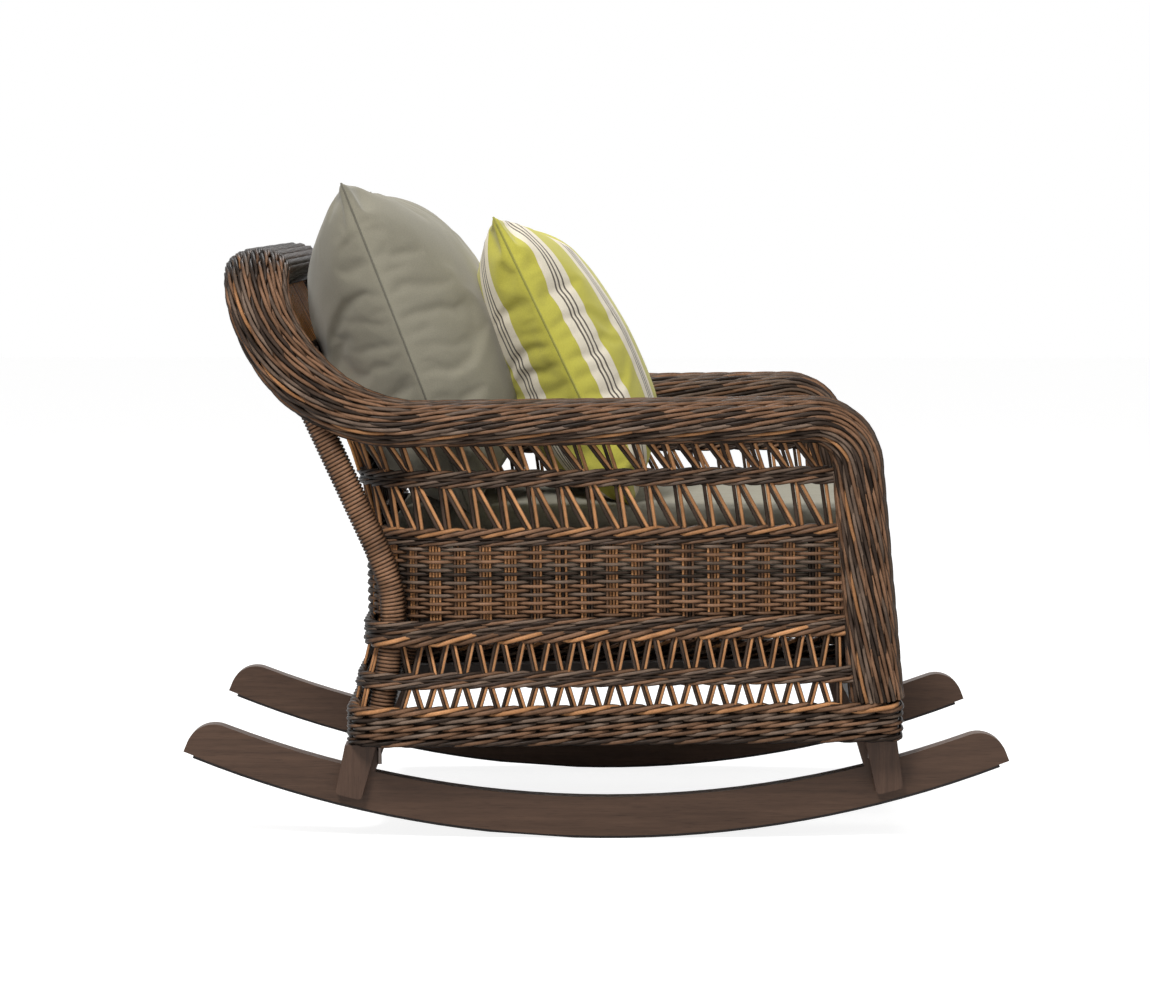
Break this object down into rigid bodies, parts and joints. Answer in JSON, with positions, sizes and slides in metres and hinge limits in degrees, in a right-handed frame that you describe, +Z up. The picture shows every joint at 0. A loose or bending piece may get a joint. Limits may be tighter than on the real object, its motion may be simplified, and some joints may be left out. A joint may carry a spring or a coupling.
{
  "type": "rocking chair",
  "caption": "Woven resin lounge rocking chair on curved wooden rockers, with lattice sides, braided arms and loose cushions.",
  "frame": {"origin": "on the floor, below the middle of the bounding box, midway between the rocker tips and between the rockers", "axes": "+X to the sitter's front, +Y to the sitter's left, +Z up"},
  "size_m": [1.15, 0.784, 0.9062],
  "materials": {
    "rocker_wood": "satin",
    "tread_rubber": "matte",
    "frame_tube": "satin",
    "wicker": "satin",
    "deck_strap": "matte",
    "steel": "satin",
    "cushion_fabric": "matte",
    "pillow_fabric": "matte"
  },
  "bodies": {
    "chair": {"arm_roll_left": "wicker", "arm_roll_right": "wicker", "arm_tube_left": "frame_tube", "arm_tube_right": "frame_tube", "back_band": "wicker", "back_panel": "wicker", "back_post_left": "frame_tube", "back_post_right": "frame_tube", "back_post_wrap_left": "wicker", "back_post_wrap_right": "wicker", "back_stakes": "wicker", "base_braid_front": "wicker", "base_braid_left": "wicker", "base_braid_rear": "wicker", "base_braid_right": "wicker", "base_rail_front": "frame_tube", "base_rail_left": "frame_tube", "base_rail_rear": "frame_tube", "base_rail_right": "frame_tube", "front_border": "wicker", "head_band": "wicker", "head_roll": "wicker", "head_tube": "frame_tube", "leg_bolts": "steel", "leg_front_left": "rocker_wood", "leg_front_right": "rocker_wood", "leg_rear_left": "rocker_wood", "leg_rear_right": "rocker_wood", "leg_screws": "steel", "rocker_left": "rocker_wood", "rocker_right": "rocker_wood", "rocker_tread_left": "tread_rubber", "rocker_tread_right": "tread_rubber", "seat_deck": "deck_strap", "seat_rail_front": "frame_tube", "seat_rail_left": "frame_tube", "seat_rail_rear": "frame_tube", "seat_rail_right": "frame_tube", "side_band_left": "wicker", "side_band_right": "wicker", "side_panel_left": "wicker", "side_panel_right": "wicker", "side_stakes_left": "wicker", "side_stakes_right": "wicker", "skirt_band_front": "wicker", "skirt_band_left": "wicker", "skirt_band_rear": "wicker", "skirt_band_right": "wicker", "skirt_stakes_front": "wicker", "skirt_stakes_left": "wicker", "skirt_stakes_rear": "wicker", "skirt_stakes_right": "wicker"},
    "seat_cushion_body": {"seat_cushion": "cushion_fabric"},
    "back_cushion_body": {"back_cushion": "cushion_fabric"},
    "throw_pillow_body": {"throw_pillow": "pillow_fabric"}
  },
  "joints": [
    {"name": "seat_cushion_lift", "type": "slide", "parent": "chair", "child": "seat_cushion_body", "axis": [-0.0131, 0, 0.9999], "range_m": [0, 0.2]},
    {"name": "back_cushion_lift", "type": "slide", "parent": "seat_cushion_body", "child": "back_cushion_body", "axis": [-0.0131, 0, 0.9999], "range_m": [0, 0.25]},
    {"name": "throw_pillow_lift", "type": "slide", "parent": "back_cushion_body", "child": "throw_pillow_body", "axis": [-0.0131, 0, 0.9999], "range_m": [0, 0.25]}
  ]
}
